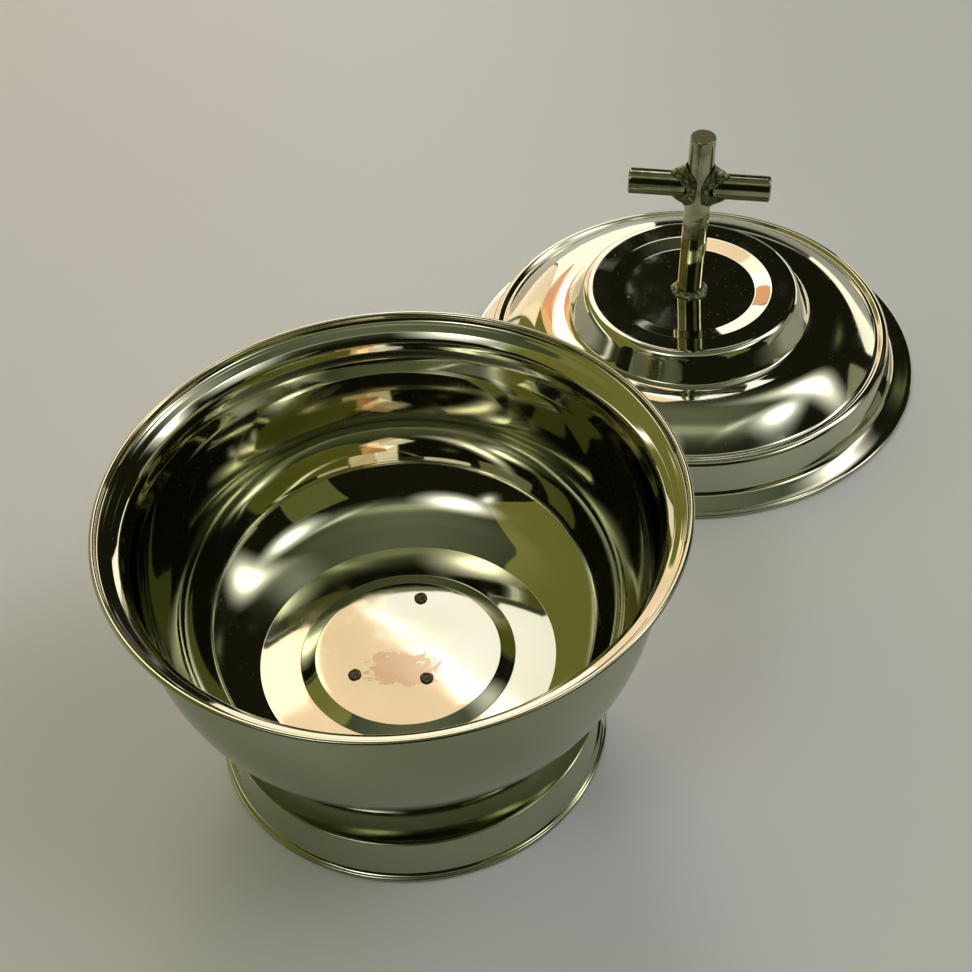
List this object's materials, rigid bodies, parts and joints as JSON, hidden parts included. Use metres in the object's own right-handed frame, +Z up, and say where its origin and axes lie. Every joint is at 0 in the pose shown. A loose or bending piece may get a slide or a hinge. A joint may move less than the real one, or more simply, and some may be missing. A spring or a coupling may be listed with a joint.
{
  "type": "baptismal font",
  "caption": "Table-top baptismal font: a deep bowl with a stepped rim on a flared pedestal, and a domed lid with a cross handle lying beside it.",
  "frame": {"origin": "on the surface the font stands on, under the middle of the bowl and lid taken together", "axes": "+Z up, +X from the bowl's axis to the lid's axis, +Y to the left of that line seen from above"},
  "size_m": [0.5116, 0.24, 0.1427],
  "materials": {
    "polished_steel": "mirror polished stainless steel with fine wear",
    "pedestal_steel": "polished stainless steel, a little softer than the bowl",
    "bar_steel": "hand-polished round bar with lengthwise marks",
    "weld_metal": "lumpy fillet weld, partly dressed",
    "plug_weld_metal": "rough dark weld metal"
  },
  "bodies": {
    "font": {"bowl": "polished_steel", "pedestal": "pedestal_steel", "plug_weld_1": "plug_weld_metal", "plug_weld_2": "plug_weld_metal", "plug_weld_3": "plug_weld_metal"},
    "lid": {"lid": "polished_steel", "cross_post": "bar_steel", "cross_arm_left": "bar_steel", "cross_arm_right": "bar_steel", "arm_weld_left": "weld_metal", "arm_weld_right": "weld_metal", "post_weld": "weld_metal"}
  },
  "joints": [
    {"name": "lid_lift", "type": "slide", "parent": "font", "child": "lid", "axis": [0, 0, 1], "range_m": [0, 0.16]}
  ]
}
